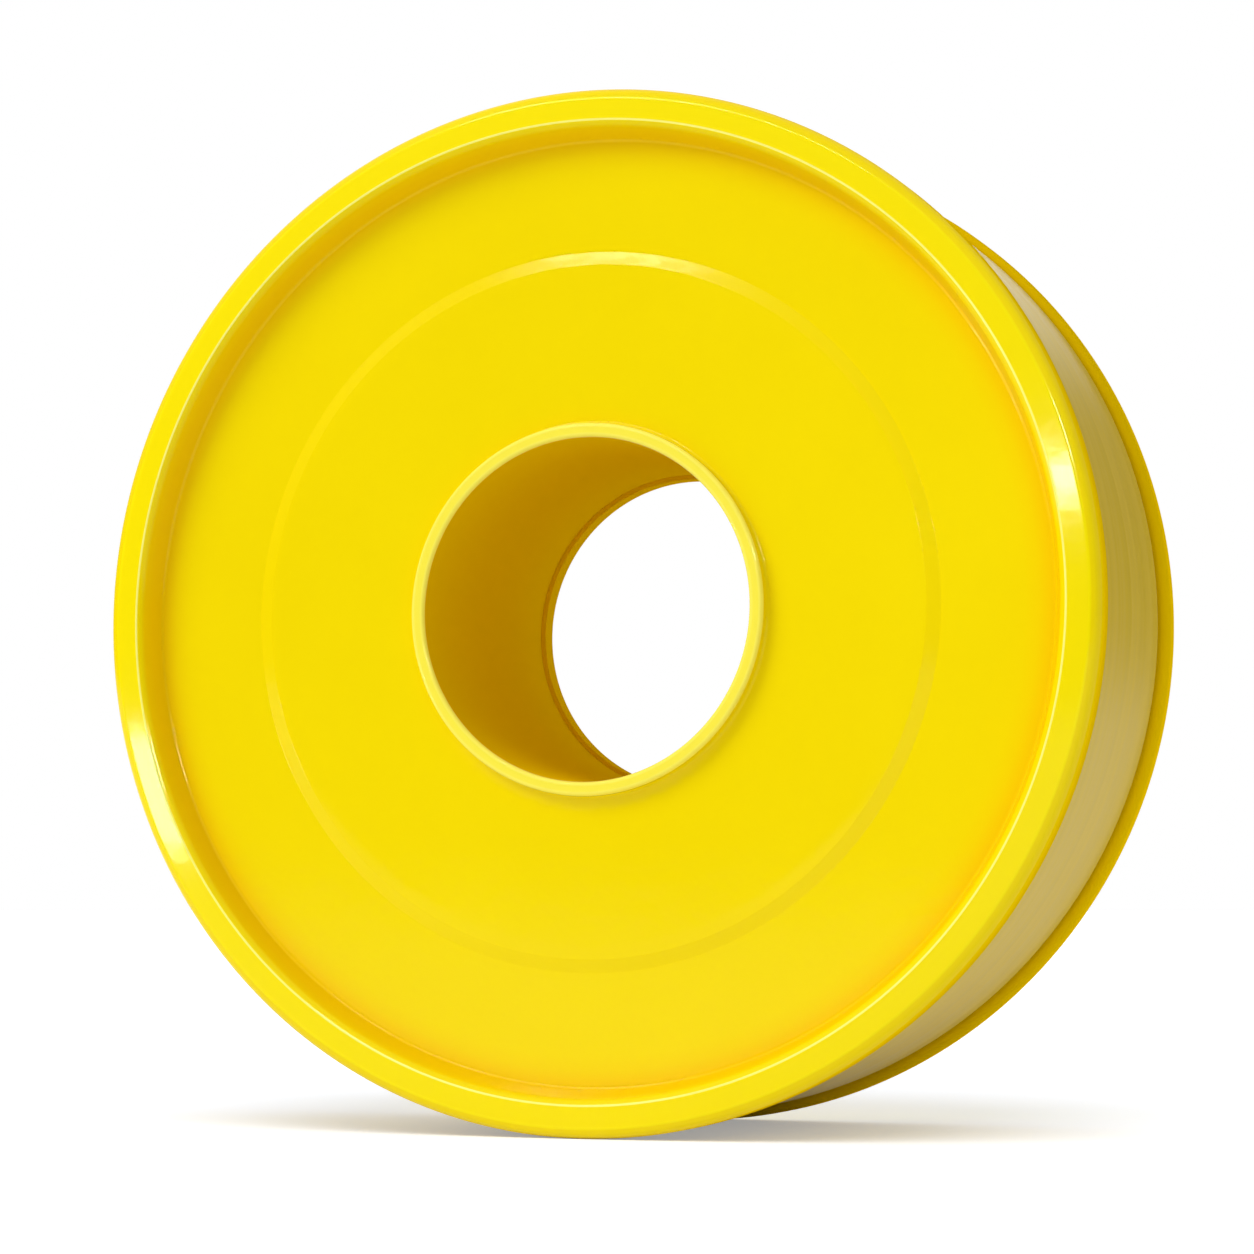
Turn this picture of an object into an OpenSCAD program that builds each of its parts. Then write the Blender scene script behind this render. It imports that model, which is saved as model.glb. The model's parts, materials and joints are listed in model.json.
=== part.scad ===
// Thread seal tape roll: tape wound on a two-flange spool, standing on its rims.
// The spool's axis is Y with the front flange at -Y. The origin is on the axis, midway between the rim faces.

/* [Tape] */
// Width of the tape
tape_w = 19; // [10:0.5:30]
// Thickness of one layer of tape
tape_t = 0.2; // [0.1:0.01:0.3]
// Length of tape on the spool
tape_l = 15000; // [8000:500:20000]
// Winding looseness: wound area over the area of the bare tape edge
winding_slack = 1.055; // [1:0.005:1.2]
// Length of the free end
tail_l = 28; // [15:1:40]
// Angle round the axis where the free end leaves the roll, from +X towards +Z
peel_a = 96; // [60:1:150]

/* [Spool] */
// Diameter of the bore
bore_d = 23; // [16:0.5:30]
// Wall of the core tube
core_wall = 1.7; // [1.6:0.1:3]
// Thickness of a flange at its rim
rim_t = 3; // [2.7:0.1:4]
// How far the flanges stand above the full roll
flange_margin = 0.55; // [0.4:0.05:4]

/* [Flange face] */
// Radial width of the raised rim
rim_w = 2.5; // [2.2:0.05:4]
// Radial run of the rim's inner wall, which slopes out of the sunk face
rim_slope = 0.7; // [0.4:0.1:1.2]
// Radial width of the rim's sloping outer shoulder
shoulder_w = 0.7; // [0.4:0.05:0.9]
// Depth of that shoulder at the flange's edge
shoulder_d = 0.5; // [0.3:0.05:0.8]
// Depth of the sunk face below the rim
recess_d = 2; // [1.6:0.1:2.2]
// Width of the sunk band between the rim and the raised middle
band_w = 7.6; // [4:0.2:10]
// Height of the raised middle above the sunk band
plateau_rise = 0.25; // [0.2:0.05:0.5]
// Radial width of the slope up to the raised middle
plateau_slope = 0.9; // [0.4:0.1:1.4]
// Wall of the collar round the bore
collar_wall = 0.95; // [0.9:0.05:1.3]
// How far the collar stays below the rim
collar_drop = 0.85; // [0.4:0.05:1]

/* [End flange seat] */
// Wall of the spigot on the end of the core
spigot_wall = 0.9; // [0.7:0.05:1]
// Length of the end flange's sleeve over the spigot
sleeve_l = 6; // [3:0.5:10]
// How far the spigot runs past the sleeve into the end flange
spigot_reach = 0.5; // [0.4:0.05:0.7]
// Height of the snap bead round the spigot
bead_h = 0.15; // [0.1:0.05:0.2]
// Radius of the snap bead's rounded section
bead_r = 0.4; // [0.3:0.05:0.6]
// How far the end flange's lip covers the end of the spigot
lip_step = 0.3; // [0.2:0.05:0.6]

/* [Clearances] */
// Gap between the tape's edge and each flange
tape_side_gap = 0.3; // [0.2:0.05:0.6]
// Gap between the core and the first layer of tape
tape_core_gap = 0.05; // [0.02:0.01:0.2]
// Gap between the free end and the layer under it
tail_gap = 0.1; // [0.05:0.01:0.2]
// Gap between the root of the free end and the end of the last fixed turn
tail_root_gap = 0.3; // [0.25:0.05:0.5]
// Gap round the spigot and its bead, and behind its end
seat_gap = 0.05; // [0.02:0.01:0.1]

/* [Hidden] */
$fn = 180;

// Rounding of the rim's inner edge, of the foot of its wall, and of the two edges of its shoulder
edge_r = 0.5;
foot_r = 0.25;
land_edge_r = 0.2;
shoulder_r = 0.4;
// Rounding of the collar's lip and of the fillet at its foot
lip_r = 0.25;
// Rounding of the flange's inner edge, of the core's foot and of the lead-in on spigot and sleeve
inner_edge_r = 0.6;
core_foot_r = 0.2;
lead_in_r = 0.25;
// How far a cut or an added piece runs past the edge it shares, so that no two faces coincide
overlap = 0.1;
// Angle between the points of the wound spiral
spiral_step = 3;

bore_r = bore_d / 2;
core_r = bore_r + core_wall;
roll_r = sqrt(core_r * core_r + tape_t * tape_l * winding_slack / PI);
flange_r = roll_r + flange_margin;
gap_w = tape_w + 2 * tape_side_gap;
width = gap_w + 2 * rim_t;

rim_in_r = flange_r - rim_w;
rim_foot_r = rim_in_r - rim_slope;
plateau_r = rim_foot_r - band_w;
plateau_h = recess_d - plateau_rise;
collar_r = bore_r + collar_wall;

// Depths along the core are measured from the front rim, and on the end flange from the back rim
spigot_r = bore_r + spigot_wall;
shoulder_h = rim_t + gap_w - sleeve_l;
spigot_end_h = rim_t + gap_w + spigot_reach;
bead_mid_r = spigot_r + bead_h - bead_r;
bead_from_shoulder = sleeve_l / 2;
socket_r = spigot_r + seat_gap;
socket_floor_h = rim_t - spigot_reach - seat_gap;
sleeve_end_h = rim_t + sleeve_l;
lip_bore_r = bore_r - lip_step;

// The last turn rises by one layer over a full circle and ends in a step at the peel line
function spiral_r(a) = roll_r - tape_t * (1 - a / 360);
tail_a = tail_l / roll_r * 180 / PI;
tail_root_a = tail_root_gap / roll_r * 180 / PI;
tail_in_r = spiral_r(tail_root_a + tail_a) + tail_gap;

// A band of a revolved profile, from radius r0 to r1 and from depth h0 to h1
module band(r0, r1, h0, h1) {
    translate([r0, h0]) square([r1 - r0, h1 - h0]);
}

function unit(direction) = direction / norm(direction);

// The corner left outside an arc that touches two edges. The edges leave the point along u and v, and v is
// anticlockwise of u. It is cut from an outer corner to round it, or added to an inner one as a fillet
module corner(at, radius, u, v) {
    along_u = unit(u);
    along_v = unit(v);
    half = acos(along_u * along_v) / 2;
    middle = unit(along_u + along_v);
    centre = at + middle * radius / sin(half);
    end_u = at + along_u * radius / tan(half);
    end_v = at + along_v * radius / tan(half);
    difference() {
        polygon([
            at - middle * overlap / sin(half),
            end_u + unit(along_u * (along_u * along_v) - along_v) * overlap,
            centre,
            end_v + unit(along_v * (along_u * along_v) - along_u) * overlap
        ]);
        translate(centre) circle(radius);
    }
}

// Turns a profile of radius and depth about the Y axis, with the depth along +Y
module revolve() {
    rotate([-90, 0, 0]) rotate_extrude() children();
}

// Profile of a dished flange from its bore outwards. Depth 0 is the rim's outer face
module flange_profile(hole_r) {
    rim_foot = [rim_foot_r, recess_d];
    land_in = [rim_in_r, 0];
    land_out = [flange_r - shoulder_w, 0];
    shoulder_end = [flange_r, shoulder_d];
    difference() {
        union() {
            band(hole_r, flange_r, recess_d, rim_t);
            polygon([rim_foot, land_in, land_out, shoulder_end, [flange_r, rim_t], [rim_foot_r, rim_t]]);
            polygon([
                [hole_r, plateau_h],
                [plateau_r - plateau_slope, plateau_h],
                [plateau_r, recess_d],
                [plateau_r, rim_t],
                [hole_r, rim_t]
            ]);
            band(hole_r, collar_r, collar_drop, rim_t);
            corner(rim_foot, foot_r, [-1, 0], land_in - rim_foot);
            corner([collar_r, plateau_h], lip_r, [0, -1], [1, 0]);
        }
        corner([flange_r, rim_t], inner_edge_r, [-1, 0], [0, -1]);
        corner(shoulder_end, shoulder_r, [0, 1], land_out - shoulder_end);
        corner(land_out, land_edge_r, shoulder_end - land_out, [-1, 0]);
        corner(land_in, edge_r, [1, 0], rim_foot - land_in);
        corner([collar_r, collar_drop], lip_r, [0, 1], [-1, 0]);
        corner([hole_r, collar_drop], lip_r, [1, 0], [0, 1]);
    }
}

// Core tube with the spigot and snap bead that hold the end flange
module core_profile() {
    difference() {
        union() {
            band(bore_r, core_r, recess_d, shoulder_h);
            band(bore_r, spigot_r, recess_d, spigot_end_h);
            translate([bead_mid_r, shoulder_h + bead_from_shoulder]) circle(bead_r);
            corner([core_r, rim_t], core_foot_r, [1, 0], [0, 1]);
        }
        band(0, bore_r, 0, width);
        corner([spigot_r, spigot_end_h], lead_in_r, [-1, 0], [0, -1]);
    }
}

// Sleeve of the end flange, which ends against the core's shoulder and carries the tape from there on
module sleeve_profile() {
    band(lip_bore_r, core_r, recess_d, sleeve_end_h);
    corner([core_r, rim_t], core_foot_r, [1, 0], [0, 1]);
}

// Socket through the sleeve, with the groove for the snap bead
module socket_profile() {
    band(0, socket_r, socket_floor_h, sleeve_end_h + overlap);
    translate([bead_mid_r, sleeve_end_h - bead_from_shoulder]) circle(bead_r + seat_gap);
    corner([socket_r, sleeve_end_h], lead_in_r, [0, -1], [1, 0]);
}

module spool() {
    color("gold") translate([0, -width / 2, 0]) revolve() union() {
        flange_profile(bore_r);
        core_profile();
    }
}

module end_flange() {
    color("goldenrod") translate([0, width / 2, 0]) mirror([0, 1, 0]) revolve() difference() {
        union() {
            flange_profile(lip_bore_r);
            sleeve_profile();
        }
        socket_profile();
    }
}

module tape_roll() {
    color("ivory") rotate([90, 0, 0]) linear_extrude(tape_w, center = true) difference() {
        polygon([
            for (a = [0:spiral_step:360])
                spiral_r(a) * [cos(peel_a + a), sin(peel_a + a)]
        ]);
        circle(core_r + tape_core_gap);
    }
}

module tape_end() {
    color("linen") rotate([90, 0, 0]) rotate(peel_a + tail_root_a) rotate_extrude(angle = tail_a)
        translate([tail_in_r, -tape_w / 2]) square([tape_t, tape_w]);
}

spool();
end_flange();
tape_roll();
tape_end();
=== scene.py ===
"""Looks of a thread seal tape roll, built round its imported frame.

Sizes are in millimetres along the frame's axes: the spool's axis is Y, the front flange is at -Y
and +Z is up. They become metres where a mesh, a lamp or the camera is made.
"""
import json
import math
import random

import bmesh
import bpy
from mathutils import Matrix, Vector


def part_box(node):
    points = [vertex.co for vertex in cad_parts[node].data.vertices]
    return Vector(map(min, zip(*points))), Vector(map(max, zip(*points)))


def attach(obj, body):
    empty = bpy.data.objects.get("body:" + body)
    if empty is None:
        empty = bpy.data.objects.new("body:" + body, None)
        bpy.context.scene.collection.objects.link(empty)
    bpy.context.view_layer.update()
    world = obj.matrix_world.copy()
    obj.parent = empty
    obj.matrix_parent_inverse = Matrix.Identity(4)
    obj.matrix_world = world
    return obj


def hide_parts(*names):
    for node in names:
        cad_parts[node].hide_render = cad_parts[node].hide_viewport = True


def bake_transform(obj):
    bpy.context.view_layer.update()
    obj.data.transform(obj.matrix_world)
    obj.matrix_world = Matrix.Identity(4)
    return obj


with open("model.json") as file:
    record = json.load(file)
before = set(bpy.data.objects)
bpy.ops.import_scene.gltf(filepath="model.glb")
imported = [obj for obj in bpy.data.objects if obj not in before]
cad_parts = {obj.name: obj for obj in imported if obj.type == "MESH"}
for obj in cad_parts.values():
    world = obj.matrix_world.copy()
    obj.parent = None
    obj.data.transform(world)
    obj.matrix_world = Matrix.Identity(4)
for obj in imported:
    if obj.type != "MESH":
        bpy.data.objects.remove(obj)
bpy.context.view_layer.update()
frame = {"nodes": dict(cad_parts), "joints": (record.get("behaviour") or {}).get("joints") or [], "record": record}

MM = 0.001
MOUNTS = {mount["name"]: mount for mount in frame["record"]["mounts"]}
HINGE = Vector(frame["joints"][0]["pos_m"])

# Sizes that the frame gives
flange_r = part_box("spool")[1].x / MM
roll_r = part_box("tape_roll")[1].z / MM
tape_w = (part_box("tape_roll")[1].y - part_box("tape_roll")[0].y) / MM
half_width = MOUNTS["back_rim"]["pos_m"][1] / MM
bore_r = MOUNTS["bore"]["dims"]["r_mm"]

# Section of the flanges
rim_t = 3.0
rim_w = 2.5
rim_slope = 0.7
shoulder_w = 0.7
shoulder_d = 0.5
land_tilt = 0.18
recess_d = 2.0
band_w = 7.6
plateau_rise = 0.25
plateau_slope = 0.9
collar_wall = 0.95
collar_drop = 0.85

# Section of the core, and of the spigot and sleeve that join the two mouldings
core_wall = 1.7
spigot_wall = 0.9
spigot_reach = 0.5
sleeve_l = 6.0
seat_gap = 0.05
lip_step = 0.3

# Roundings of the edges in that section
shoulder_round = 0.8
land_edge_round = 0.45
rim_bevel = 0.3
rim_bevel_share = 0.1
rim_bevel_round = 0.16
rim_wall_round = 0.7
rim_foot_round = 0.25
plateau_round = 0.12
lip_round = 0.25
inner_edge_round = 0.6
core_foot_round = 0.2
crisp_round = 0.06

# Fineness of the turned meshes, and how meshes are joined and shaded
SEGMENTS = 288
ARC_STEP = math.radians(9)
ARC_FEWEST = 2
LONGEST_STEP = 1.0
join_distance_m = 1e-7
SHARP_ANGLE = math.radians(50)
FLATS_WEIGHT = 100

core_r = bore_r + core_wall
rim_in_r = flange_r - rim_w
rim_foot_r = rim_in_r - rim_slope
plateau_r = rim_foot_r - band_w
plateau_h = recess_d - plateau_rise
collar_r = bore_r + collar_wall
spigot_r = bore_r + spigot_wall
socket_r = spigot_r + seat_gap
lip_bore_r = bore_r - lip_step
gap_w = 2 * (half_width - rim_t)
shoulder_h = rim_t + gap_w - sleeve_l
spigot_end_h = rim_t + gap_w + spigot_reach
socket_floor_h = rim_t - spigot_reach - seat_gap

# How pale a corner is painted as a highlight, from 0 to 1: before its rounding, on it and after it. The painted
# highlight brightens the land and draws pale lines along the rim's edges, the rim's foot and the collar's lips
PLAIN = (0.0, 0.0, 0.0)
LAND_OUTSIDE = (0.0, 0.42, 0.3)
LAND_INSIDE = (0.3, 0.95, 0.0)
RIM_FOOT = (0.0, 0.15, 0.0)
LIP_OUTSIDE = (0.0, 0.72, 0.64)
LIP_INSIDE = (0.64, 0.72, 0.0)
painted_highlight_fade = 0.06

# Where painted shade deepens the yellow: the width of the sunk face below the rim, depths on the rim's
# wall and depths on the flange's edge
corner_w = 2.2
corner_from = 0.1
corner_to = 0.6
edge_from = 0.4
edge_to = 2.4
CORNER_SHADE = 1.0
EDGE_SHADE = 2.0

# Depths on the flange's edge between which its polish ends
polish_from = 0.25
polish_to = 0.75


def rounded(corners):
    """The closed outline through (radius, depth, rounding, tones) corners.

    Its points are (radius, depth, tone), where the tone is how much painted highlight the point carries.
    """
    points = []
    for index, (radius, depth, rounding, tones) in enumerate(corners):
        at = Vector((radius, depth))
        back = (Vector(corners[index - 1][:2]) - at).normalized()
        on = (Vector(corners[(index + 1) % len(corners)][:2]) - at).normalized()
        half = back.angle(on) / 2
        reach = rounding / math.tan(half)
        centre = at + (back + on).normalized() * rounding / math.sin(half)
        start = at + back * reach - centre
        turn = math.pi - 2 * half
        if back.x * on.y - back.y * on.x > 0:
            turn = -turn
        steps = max(ARC_FEWEST, math.ceil(abs(turn) / ARC_STEP))
        arc = [centre + Matrix.Rotation(turn * step / steps, 2) @ start for step in range(steps + 1)]
        # How much painted highlight lies on the flat before the arc, on the arc and on the flat after it
        before, on_arc, after = tones
        if on_arc:
            points.append((*(at + back * (reach + painted_highlight_fade)), before))
        points.extend((*point, on_arc) for point in arc)
        if on_arc:
            points.append((*(at + on * (reach + painted_highlight_fade)), after))
    return points


def spaced(outline):
    """The same outline with its long runs cut into steps, so that a look can change along them."""
    points = []
    for here, after in zip(outline, outline[1:] + outline[:1]):
        steps = math.ceil(math.dist(here[:2], after[:2]) / LONGEST_STEP)
        for step in range(steps):
            points.append(tuple(a + (b - a) * step / steps for a, b in zip(here, after)))
    return points


def fade(value, start, end):
    """0 up to start, 1 from end on, and even between them."""
    return min(1.0, max(0.0, (value - start) / (end - start)))


def in_bore(radius, depth):
    """Whether a place is on the bore's wall, below the rounding of its lip."""
    return radius < bore_r + crisp_round and depth > collar_drop + lip_round


def deepness(radius, depth):
    """How much painted shade deepens the yellow: most on the edge and in the bore, less in the corner below the
    rim.
    """
    if in_bore(radius, depth):
        return EDGE_SHADE
    if radius > rim_in_r:
        return EDGE_SHADE * fade(depth, edge_from, edge_to)
    across = fade(radius, rim_foot_r - corner_w, rim_foot_r)
    return CORNER_SHADE * across * across * fade(depth, corner_from, corner_to)


def polish(radius, depth):
    """1 on the dished face and the rim, and 0 in the bore, on the flange's edge and on its inner side."""
    if in_bore(radius, depth):
        return 0.0
    if radius > rim_in_r:
        return 1 - fade(depth, polish_from, polish_to)
    return 1 - fade(depth, recess_d, recess_d + rim_foot_round)


def dull_inside(mesh):
    """Gives the bore, the edge and the inner side of a flange the second material."""
    for face in mesh.polygons:
        middle = face.center / MM
        radius = math.hypot(middle.x, middle.z)
        depth = half_width - abs(middle.y)
        on_edge = radius > rim_in_r and depth > polish_to
        inside = depth > recess_d + rim_foot_round
        face.material_index = int(in_bore(radius, depth) or on_edge or inside)


def new_piece(name, points, faces):
    """A smooth mesh object from points in millimetres, with its normals outwards."""
    mesh = bpy.data.meshes.new(name)
    mesh.from_pydata([Vector(point) * MM for point in points], [], faces)
    work = bmesh.new()
    work.from_mesh(mesh)
    bmesh.ops.remove_doubles(work, verts=work.verts, dist=join_distance_m)
    bmesh.ops.recalc_face_normals(work, faces=work.faces)
    work.to_mesh(mesh)
    work.free()
    mesh.shade_smooth()
    piece = bpy.data.objects.new(name, mesh)
    bpy.context.scene.collection.objects.link(piece)
    return piece


def weigh_normals(piece):
    """Keeps the flats of a piece flat to the eye beside its small roundings, and its cut edges sharp."""
    piece.data.set_sharp_from_angle(angle=SHARP_ANGLE)
    weighted = piece.modifiers.new("weighted_normals", "WEIGHTED_NORMAL")
    weighted.weight = FLATS_WEIGHT
    weighted.keep_sharp = True


def turned(name, outline, to_y):
    """An outline turned about Y. to_y gives the place on the axis for a depth."""
    points = []
    faces = []
    count = len(outline)
    for turn in range(SEGMENTS):
        angle = 2 * math.pi * turn / SEGMENTS
        here = turn * count
        after = (turn + 1) % SEGMENTS * count
        for index, (radius, depth, _) in enumerate(outline):
            beside = (index + 1) % count
            points.append((radius * math.cos(angle), to_y(depth), radius * math.sin(angle)))
            faces.append((here + index, here + beside, after + beside, after + index))
    piece = new_piece(name, points, faces)
    # The first look paints highlights as pale lines and a brighter land, the second paints shade as deeper yellow,
    # the third sets the polish
    looks = {
        "edge_tone": [tone for _, _, tone in outline],
        "deepness": [deepness(radius, depth) for radius, depth, _ in outline],
        "polish": [polish(radius, depth) for radius, depth, _ in outline],
    }
    for look, values in looks.items():
        piece.data.attributes.new(look, "FLOAT", "POINT").data.foreach_set("value", values * SEGMENTS)
    weigh_normals(piece)
    return piece


def face_corners(hole_r):
    """Corners of a flange from its inner edge, over the rim and the dished face, to its hole's lip."""
    return [
        (flange_r, rim_t, inner_edge_round, PLAIN),
        (flange_r, shoulder_d, shoulder_round, PLAIN),
        (flange_r - shoulder_w, land_tilt, land_edge_round, LAND_OUTSIDE),
        (rim_in_r + rim_bevel, 0, rim_bevel_round, LAND_INSIDE),
        (rim_in_r - rim_slope * rim_bevel_share, recess_d * rim_bevel_share, rim_wall_round, PLAIN),
        (rim_foot_r, recess_d, rim_foot_round, RIM_FOOT),
        (plateau_r, recess_d, plateau_round, PLAIN),
        (plateau_r - plateau_slope, plateau_h, plateau_round, PLAIN),
        (collar_r, plateau_h, lip_round, PLAIN),
        (collar_r, collar_drop, lip_round, LIP_OUTSIDE),
        (hole_r, collar_drop, lip_round, LIP_INSIDE),
    ]


def make_spool():
    """The front flange and the core, with the spigot at its far end."""
    core = [
        (bore_r, spigot_end_h, crisp_round, PLAIN),
        (spigot_r, spigot_end_h, lip_round, PLAIN),
        (spigot_r, shoulder_h, crisp_round, PLAIN),
        (core_r, shoulder_h, crisp_round, PLAIN),
        (core_r, rim_t, core_foot_round, PLAIN),
    ]
    outline = spaced(rounded(core + face_corners(bore_r)))
    return turned("spool_moulding", outline, lambda depth: depth - half_width)


def make_end_flange():
    """The back flange, with the sleeve that takes the spigot."""
    sleeve = [
        (lip_bore_r, socket_floor_h, crisp_round, PLAIN),
        (socket_r, socket_floor_h, crisp_round, PLAIN),
        (socket_r, rim_t + sleeve_l, lip_round, PLAIN),
        (core_r, rim_t + sleeve_l, crisp_round, PLAIN),
        (core_r, rim_t, core_foot_round, PLAIN),
    ]
    outline = spaced(rounded(sleeve + face_corners(lip_bore_r)))
    return turned("end_flange_moulding", outline, lambda depth: half_width - depth)


# The tape: its turns are drawn two layers thick, and the last one single
tape_t = 0.2
TURNS = 50
TURN_STEPS = 180
ACROSS = 56
core_gap = 0.05
edge_wander = 0.07
edge_soft = 0.08
edge_run = 4
ridge_h = 0.012
winding_seed = 7
peel_a = math.atan2(HINGE.z, HINGE.x)

# Waves across the tape that make its fine lines, as (rate, phase, height)
RIDGE_WAVES = ((0.9, 0.4, 1.0), (2.3, 1.9, 0.7), (5.1, 0.8, 0.5), (11.7, 2.6, 0.3))


def wave_sum(waves, y):
    """Height of several waves together, at a place across the tape."""
    return sum(height * math.sin(rate * y + phase) for rate, phase, height in waves)


def ridge(y):
    """Height of the fine lines along the tape, at a place across its width."""
    return ridge_h * wave_sum(RIDGE_WAVES, y)


def across_tape():
    """Places across the tape from its front edge to its back one, with how far each is rounded down."""
    for index in range(ACROSS + 1):
        share = index / ACROSS
        to_edge = min(share, 1 - share) * tape_w
        near_edge = max(0.0, 1 - to_edge / edge_soft / edge_run)
        yield (share - 0.5) * tape_w, edge_soft * near_edge * near_edge


def part_way(values, share):
    """Each value moved on by a share of the way to the next one."""
    return [a + (b - a) * share for a, b in zip(values, values[1:])]


def make_tape_roll():
    """The winding as one spiral. Each turn stands a little in or out, and the last ends in a step."""
    chance = random.Random(winding_seed)
    inner_r = core_r + core_gap
    pitch = (roll_r - tape_t - inner_r) / TURNS
    radii = [inner_r + pitch * turn for turn in range(TURNS + 1)] + [roll_r]
    sides = [[chance.uniform(0, edge_wander) for _ in radii] for _ in range(2)]
    # The first turn starts from nothing, so it shares its edge with the next. The last turn lies flush.
    for side in sides:
        side[1] = side[0]
        side[-2:] = [0.0, 0.0]
    points = []
    for step in range(TURN_STEPS + 1):
        share = step / TURN_STEPS
        outer = part_way(radii, share)
        inner = [inner_r] + outer[:-1]
        front, back = (part_way(side, share) for side in sides)
        ring = []
        for turn in range(TURNS):
            ring.append((inner[turn], front[turn] - tape_w / 2))
            ring.append((outer[turn], front[turn] - tape_w / 2))
        ring.append((inner[TURNS], front[TURNS] - tape_w / 2))
        ring.extend((outer[TURNS] + ridge(y) - drop, y) for y, drop in across_tape())
        ring.append((inner[TURNS], tape_w / 2 - back[TURNS]))
        for turn in reversed(range(TURNS)):
            ring.append((outer[turn], tape_w / 2 - back[turn]))
            ring.append((inner[turn], tape_w / 2 - back[turn]))
        angle = peel_a + 2 * math.pi * share
        points.extend((radius * math.cos(angle), y, radius * math.sin(angle)) for radius, y in ring)
    count = len(ring)
    faces = []
    for step in range(TURN_STEPS):
        here = step * count
        after = here + count
        for index in range(count):
            beside = (index + 1) % count
            faces.append((here + index, here + beside, after + beside, after + index))
    first = 2 * TURNS + 1
    last = TURN_STEPS * count
    for index in range(first, first + ACROSS):
        faces.append((index, index + 1, last + index + 1, last + index))
    piece = new_piece("tape_winding", points, faces)
    weigh_normals(piece)
    return piece


# The free end of the tape. It lifts over the last share of its length
tail_l = 28.0
tail_lift = 0.35
tail_lift_from = 0.75
tail_settle = 4.0
TAIL_STEPS = 70

# Waves across it that make its torn edge, as (rate, phase, height)
TORN_WAVES = ((1.7, 0.6, 0.25), (5.3, 0.0, 0.12), (13.1, 1.0, 0.05))


def eased(share):
    """A share from 0 to 1 that starts and ends gently."""
    return share * share * (3 - 2 * share)


def make_tape_end():
    """The free end: it goes on from the last turn, lies on the roll and lifts a little at its torn edge."""
    solid = frame["nodes"]["tape_end"].data
    lie_r = max(math.hypot(vertex.co.x, vertex.co.z) for vertex in solid.vertices) / MM
    points = []
    rows = []
    for step in range(TAIL_STEPS + 1):
        row = []
        for y, drop in across_tape():
            along = (tail_l + wave_sum(TORN_WAVES, y)) * step / TAIL_STEPS
            settled = eased(min(1.0, along / tail_settle))
            lifted = max(0.0, along / tail_l - tail_lift_from) / (1 - tail_lift_from)
            top = roll_r + (lie_r - roll_r) * settled + tail_lift * lifted * lifted
            angle = peel_a + along / roll_r
            for radius in (top + ridge(y) - drop, top - tape_t + ridge(y) + drop):
                row.append(len(points))
                points.append((radius * math.cos(angle), y, radius * math.sin(angle)))
        rows.append(row)
    faces = []
    for near, far in zip(rows, rows[1:]):
        for a in range(0, 2 * ACROSS, 2):
            faces.append((near[a], near[a + 2], far[a + 2], far[a]))
            faces.append((near[a + 1], far[a + 1], far[a + 3], near[a + 3]))
        for a in (0, 2 * ACROSS):
            faces.append((near[a], far[a], far[a + 1], near[a + 1]))
    for row in (rows[0], rows[-1]):
        for a in range(0, 2 * ACROSS, 2):
            faces.append((row[a], row[a + 2], row[a + 3], row[a + 1]))
    piece = new_piece("tape_free_end", points, faces)
    weigh_normals(piece)
    return piece


# The plastic. Its yellow is clouded between two tones, and goes to a paler one, a painted highlight, or a
# deeper one, painted shade, over a part, from start to end, of a look that the mesh carries
CLOUD_LOW = 0.3
CLOUD_HIGH = 0.7
YELLOWS = ((CLOUD_LOW, (0.915, 0.695, 0.0005)), (CLOUD_HIGH, (0.94, 0.72, 0.0005)))
TINTS = (
    # The first two tints are painted highlights: a brighter land and pale lines on edges and lips. The last two
    # are painted shade: deeper yellow in the corner below the rim, then on the flange's edge and in the bore
    ("edge_tone", 0.0, 0.5, (0.97, 0.80, 0.002)),
    ("edge_tone", 0.5, 1.0, (0.99, 0.92, 0.22)),
    ("deepness", 0.0, CORNER_SHADE, (0.93, 0.585, 0.0004)),
    ("deepness", CORNER_SHADE, EDGE_SHADE, (0.78, 0.50, 0.0003)),
)
gloss_roughness = (0.08, 0.1)
matt_roughness = 0.6
gloss_specular = 0.2
matt_specular = 0.0
gloss_tint = (1.0, 0.95, 0.62, 1)
plastic_ior = 1.46
cloud_scale = 55.0
cloud_detail = 3.0
grain_scale = 900.0
grain_detail = 2.0
grain_strength = 0.04
grain_depth_m = 0.0002

# The tape
TAPE_TONES = ((CLOUD_LOW, (0.64, 0.445, 0.022)), (CLOUD_HIGH, (0.70, 0.49, 0.045)))
tape_roughness = (0.34, 0.44)
tape_specular = 0.07
tape_ior = 1.38
streak_scale = 700.0
streak_detail = 3.0
streak_strength = 0.1
streak_depth_m = 0.0001

# The floor. It glows a little to the camera and in reflections
FLOOR_COLOUR = (0.86, 0.89, 0.97, 1)
WHITE = (1, 1, 1, 1)
floor_reach = 20000
floor_roughness = 0.9
floor_glow = 0.3

# Places of a colour mix's sockets, whose names repeat
MIX_SHARE = 0
MIX_FROM = 6
MIX_TO = 7
MIX_RESULT = 2


def new_material(name):
    """A material with its Principled shader, a function that joins sockets and one that adds a node."""
    material = bpy.data.materials.new(name)
    material.use_nodes = True
    tree = material.node_tree

    def add(kind, settings=None, **inputs):
        node = tree.nodes.new(kind)
        for key, value in (settings or {}).items():
            setattr(node, key, value)
        for key, value in inputs.items():
            node.inputs[key.replace("_", " ")].default_value = value
        return node

    return material, tree.nodes["Principled BSDF"], tree.links.new, add


def set_ramp(node, stops):
    """Sets a colour ramp's two stops."""
    for element, (place, colour) in zip(node.color_ramp.elements, stops):
        element.position = place
        element.color = (*colour, 1)


def add_gloss(add, roughness):
    """A node that takes a cloudy value to a roughness between two."""
    smoothest, roughest = roughness
    return add(
        "ShaderNodeMapRange", From_Min=CLOUD_LOW, From_Max=CLOUD_HIGH, To_Min=smoothest, To_Max=roughest
    )


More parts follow.
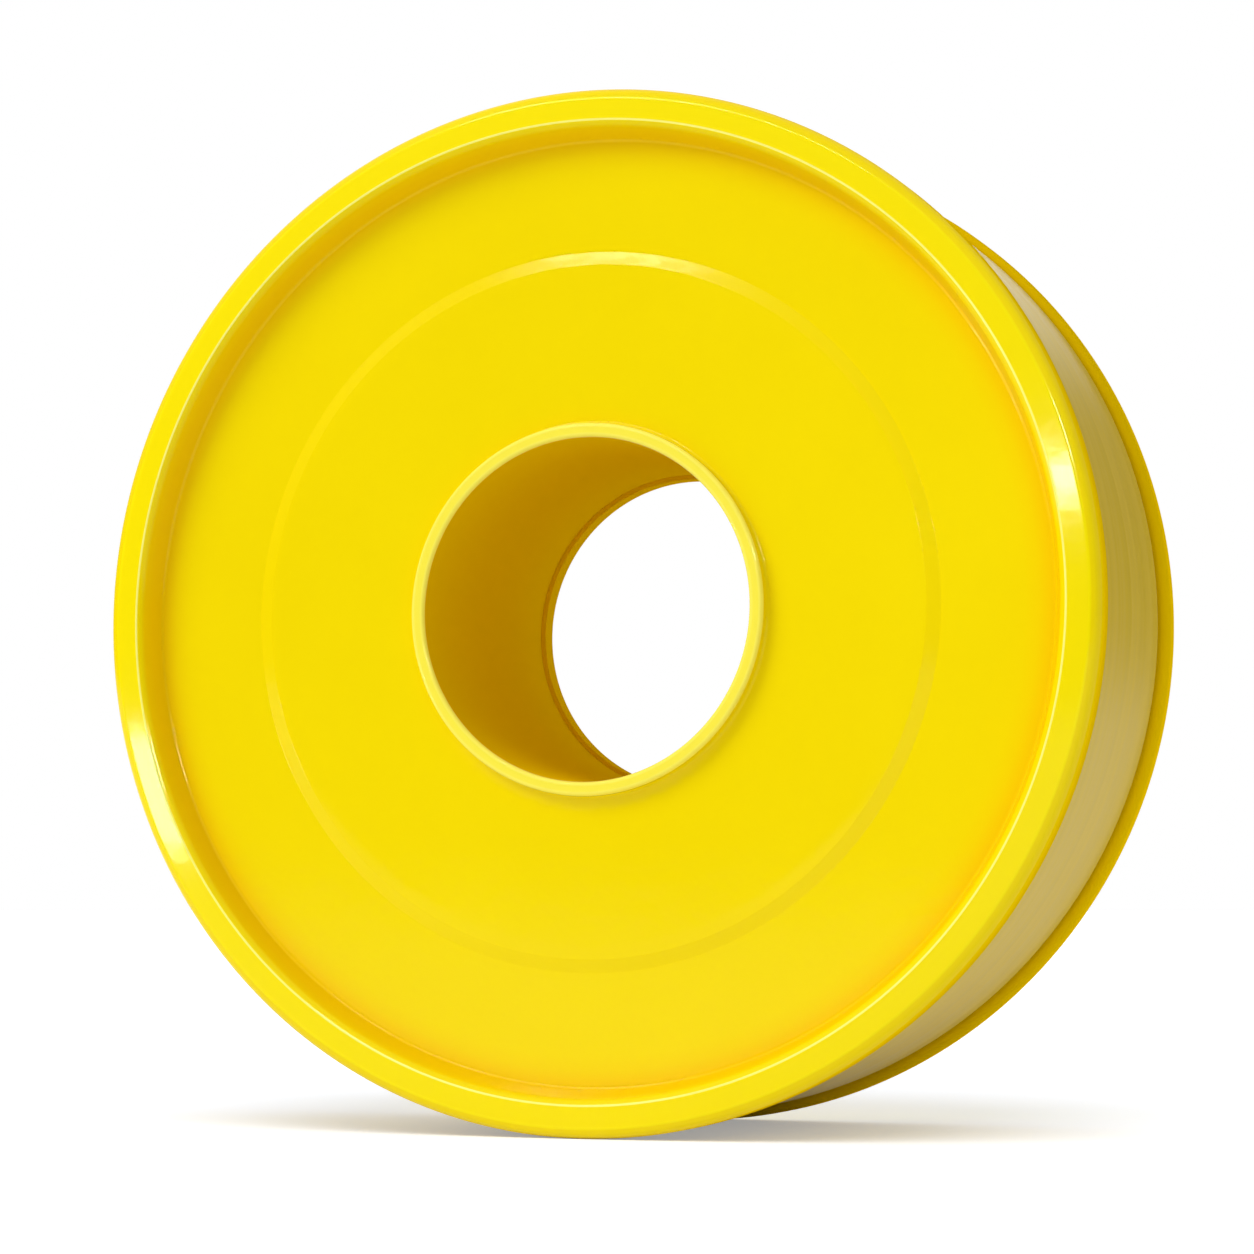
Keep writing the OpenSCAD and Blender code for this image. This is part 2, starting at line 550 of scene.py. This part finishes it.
def yellow_plastic(name, specular):
    """Moulded yellow plastic, clouded a little in tone and gloss, with painted highlights and painted shade mixed
    in.
    """
    material, principled, join, add = new_material(name)
    place = add("ShaderNodeTexCoord")
    cloud = add("ShaderNodeTexNoise", Scale=cloud_scale, Detail=cloud_detail)
    join(place.outputs["Object"], cloud.inputs["Vector"])
    tone = add("ShaderNodeValToRGB")
    set_ramp(tone, YELLOWS)
    join(cloud.outputs["Fac"], tone.inputs["Fac"])
    colour = tone.outputs["Color"]
    # Mixes in the painted highlights and the painted shade that the mesh carries
    for look, start, end, tint in TINTS:
        amount = add("ShaderNodeAttribute", {"attribute_name": look})
        share = add("ShaderNodeMapRange", From_Min=start, From_Max=end)
        join(amount.outputs["Fac"], share.inputs["Value"])
        mix = add("ShaderNodeMix", {"data_type": "RGBA"})
        join(share.outputs["Result"], mix.inputs[MIX_SHARE])
        join(colour, mix.inputs[MIX_FROM])
        mix.inputs[MIX_TO].default_value = (*tint, 1)
        colour = mix.outputs[MIX_RESULT]
    join(colour, principled.inputs["Base Color"])
    gloss = add_gloss(add, gloss_roughness)
    join(cloud.outputs["Fac"], gloss.inputs["Value"])
    polished = add("ShaderNodeAttribute", {"attribute_name": "polish"})
    roughness = add("ShaderNodeMapRange", To_Min=matt_roughness)
    join(polished.outputs["Fac"], roughness.inputs["Value"])
    join(gloss.outputs["Result"], roughness.inputs["To Max"])
    join(roughness.outputs["Result"], principled.inputs["Roughness"])
    grain = add("ShaderNodeTexNoise", Scale=grain_scale, Detail=grain_detail)
    join(place.outputs["Object"], grain.inputs["Vector"])
    bump = add("ShaderNodeBump", Strength=grain_strength, Distance=grain_depth_m)
    join(grain.outputs["Fac"], bump.inputs["Height"])
    join(bump.outputs["Normal"], principled.inputs["Normal"])
    principled.inputs["IOR"].default_value = plastic_ior
    principled.inputs["Specular IOR Level"].default_value = specular
    principled.inputs["Specular Tint"].default_value = gloss_tint
    return material


def waxy_tape():
    """Smooth tape with fine streaks along its length."""
    material, principled, join, add = new_material("waxy_tape")
    place = add("ShaderNodeTexCoord")
    split = add("ShaderNodeSeparateXYZ")
    join(place.outputs["Object"], split.inputs["Vector"])
    in_line = {"noise_dimensions": "1D"}
    streaks = add("ShaderNodeTexNoise", in_line, Scale=streak_scale, Detail=streak_detail)
    join(split.outputs["Y"], streaks.inputs["W"])
    tone = add("ShaderNodeValToRGB")
    set_ramp(tone, TAPE_TONES)
    join(streaks.outputs["Fac"], tone.inputs["Fac"])
    join(tone.outputs["Color"], principled.inputs["Base Color"])
    gloss = add_gloss(add, tape_roughness)
    join(streaks.outputs["Fac"], gloss.inputs["Value"])
    join(gloss.outputs["Result"], principled.inputs["Roughness"])
    bump = add("ShaderNodeBump", Strength=streak_strength, Distance=streak_depth_m)
    join(streaks.outputs["Fac"], bump.inputs["Height"])
    join(bump.outputs["Normal"], principled.inputs["Normal"])
    principled.inputs["IOR"].default_value = tape_ior
    principled.inputs["Specular IOR Level"].default_value = tape_specular
    return material


def pale_floor():
    """A pale matt floor that reads as white where nothing shades it."""
    material, principled, join, add = new_material("pale_floor")
    principled.inputs["Base Color"].default_value = FLOOR_COLOUR
    principled.inputs["Roughness"].default_value = floor_roughness
    principled.inputs["Specular IOR Level"].default_value = matt_specular
    principled.inputs["Emission Color"].default_value = WHITE
    rays = add("ShaderNodeLightPath")
    seen = add("ShaderNodeMath", {"operation": "ADD"})
    join(rays.outputs["Is Camera Ray"], seen.inputs[0])
    join(rays.outputs["Is Glossy Ray"], seen.inputs[1])
    shown = add("ShaderNodeMath", {"operation": "ADD"})
    join(seen.outputs[0], shown.inputs[0])
    join(rays.outputs["Is Transmission Ray"], shown.inputs[1])
    glow = add("ShaderNodeMath", {"operation": "MULTIPLY"})
    join(shown.outputs[0], glow.inputs[0])
    glow.inputs[1].default_value = floor_glow
    join(glow.outputs[0], principled.inputs["Emission Strength"])
    return material


# Light. The fill changes from left to right, and the room that gloss mirrors from low to overhead,
# each between two places on a direction's axis
left_fill = 0.66
right_fill = 0.6
overhead_glow = 0.9
low_glow = 0.05
FILL_PLACES = (-0.3, 0.9)
GLOW_PLACES = (0.15, 0.8)
sun_distance = 500
box_distance = 600


def make_world():
    """White behind the object, a soft fill on it, and a room that is brighter overhead in reflections."""
    world = bpy.data.worlds.new("studio")
    bpy.context.scene.world = world
    world.use_nodes = True
    tree = world.node_tree
    join = tree.links.new
    rays = tree.nodes.new("ShaderNodeLightPath")
    place = tree.nodes.new("ShaderNodeTexCoord")
    split = tree.nodes.new("ShaderNodeSeparateXYZ")
    join(place.outputs["Generated"], split.inputs["Vector"])

    def graded(axis, places, first, last):
        node = tree.nodes.new("ShaderNodeMapRange")
        for socket, value in zip(("From Min", "From Max", "To Min", "To Max"), (*places, first, last)):
            node.inputs[socket].default_value = value
        join(split.outputs[axis], node.inputs["Value"])
        return node.outputs["Result"]

    def combine(operation, first, second):
        node = tree.nodes.new("ShaderNodeMath")
        node.operation = operation
        for socket, value in zip(node.inputs, (first, second)):
            if isinstance(value, float):
                socket.default_value = value
            else:
                join(value, socket)
        return node.outputs[0]

    mirrored = combine("ADD", rays.outputs["Is Glossy Ray"], rays.outputs["Is Transmission Ray"])
    shown = combine("ADD", rays.outputs["Is Camera Ray"], mirrored)
    room = graded("Z", GLOW_PLACES, low_glow, overhead_glow)
    mirrored_light = combine("MULTIPLY", mirrored, room)
    shown_light = combine("ADD", rays.outputs["Is Camera Ray"], mirrored_light)
    unseen = combine("SUBTRACT", 1.0, shown)
    fill = combine("MULTIPLY", unseen, graded("X", FILL_PLACES, left_fill, right_fill))
    backdrop = tree.nodes["Background"]
    backdrop.inputs["Color"].default_value = WHITE
    join(combine("ADD", shown_light, fill), backdrop.inputs["Strength"])


def new_lamp(name, kind, towards, distance):
    """A lamp that stands in a direction from the origin and points back at it."""
    lamp = bpy.data.objects.new(name, bpy.data.lights.new(name, kind))
    bpy.context.scene.collection.objects.link(lamp)
    direction = Vector(towards).normalized()
    lamp.location = direction * distance * MM
    lamp.rotation_euler = direction.to_track_quat("Z", "Y").to_euler()
    return lamp


def make_sun(name, towards, strength, spread, receivers):
    """Soft light on the given pieces only."""
    sun = new_lamp(name, "SUN", towards, sun_distance)
    sun.data.energy = strength
    sun.data.angle = spread
    sun.visible_glossy = False
    lit = bpy.data.collections.new(name)
    for piece in receivers:
        lit.objects.link(piece)
    sun.light_linking.receiver_collection = lit


def make_softbox(name, towards, width, height, power, distance=box_distance):
    """A lamp that shows only as a reflection on gloss."""
    box = new_lamp(name, "AREA", towards, distance)
    box.data.shape = "RECTANGLE"
    box.data.size = width * MM
    box.data.size_y = height * MM
    box.data.energy = power
    box.visible_diffuse = False
    box.visible_camera = False


def make_floor():
    """One wide pale square that the roll stands on."""
    side = floor_reach
    corners = [(-side, -side), (side, -side), (side, side), (-side, side)]
    floor = new_piece("floor", [(x, y, -flange_r) for x, y in corners], [(0, 1, 2, 3)])
    floor.data.materials.append(pale_floor())
    return floor


# Camera at the photograph's viewing angle, for a square frame of PHOTO_SIDE pixels
PHOTO_SIDE = 1254
focal_px = 3500
sensor_mm = 36
turn_right = math.radians(19.583)
look_up = math.radians(4.601)
aim_right = 2.78
aim_down = 1.20
aim_far = 232.7
aim_depth = 1.2
nearest_m = 0.01
farthest_m = 100


def make_camera():
    """Stands to the right of the front and a little low, and aims beside the front flange's middle."""
    right = Vector((math.cos(turn_right), math.sin(turn_right), 0))
    level = Vector((-math.sin(turn_right), math.cos(turn_right), 0))
    ahead = level * math.cos(look_up) + Vector((0, 0, math.sin(look_up)))
    up = right.cross(ahead)
    camera = bpy.data.objects.new("camera", bpy.data.cameras.new("camera"))
    bpy.context.scene.collection.objects.link(camera)
    camera.data.sensor_width = sensor_mm
    camera.data.lens = focal_px / PHOTO_SIDE * sensor_mm
    camera.data.clip_start = nearest_m
    camera.data.clip_end = farthest_m
    front = Vector((0, aim_depth - half_width, 0))
    place = front + right * aim_right - up * aim_down - ahead * aim_far
    facing = Matrix((right, up, -ahead)).transposed()
    camera.matrix_world = Matrix.LocRotScale(place * MM, facing, None)
    bpy.context.scene.camera = camera


spool = make_spool()
end_flange = make_end_flange()
tape_roll = make_tape_roll()
tape_end = make_tape_end()
pieces = (spool, end_flange, tape_roll, tape_end)

finishes = (
    yellow_plastic("yellow_plastic", gloss_specular),
    yellow_plastic("yellow_plastic_matt", matt_specular),
)
for moulding in (spool, end_flange):
    for finish in finishes:
        moulding.data.materials.append(finish)
    dull_inside(moulding.data)
tape = waxy_tape()
for strip in (tape_roll, tape_end):
    strip.data.materials.append(tape)

for piece, node in zip(pieces, ("spool", "end_flange", "tape_roll", "tape_end")):
    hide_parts(node)
for piece in (spool, end_flange, tape_roll):
    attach(piece, "spool")
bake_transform(tape_end)

floor = make_floor()
make_world()
make_sun("key", (-0.53, -0.55, 0.64), strength=1.5, spread=math.radians(32), receivers=pieces)
make_sun("floor_light", (0.14, -0.62, 0.77), strength=1.5, spread=math.radians(44), receivers=(floor,))
make_softbox("left_box", (-0.704, -0.704, -0.093), width=20, height=22, power=0.062, distance=192)
make_softbox("front_box", (0.07, -0.98, 0.18), width=26, height=16, power=0.18)
make_softbox("top_box", (-0.22, -0.73, 0.64), width=330, height=60, power=1.6)
make_softbox("right_box", (0.48, -0.81, 0.34), width=40, height=60, power=1.3)
make_softbox("back_box", (-0.06, 0.93, 0.37), width=200, height=120, power=0.17)
make_camera()
bpy.context.scene.view_settings.view_transform = "Standard"
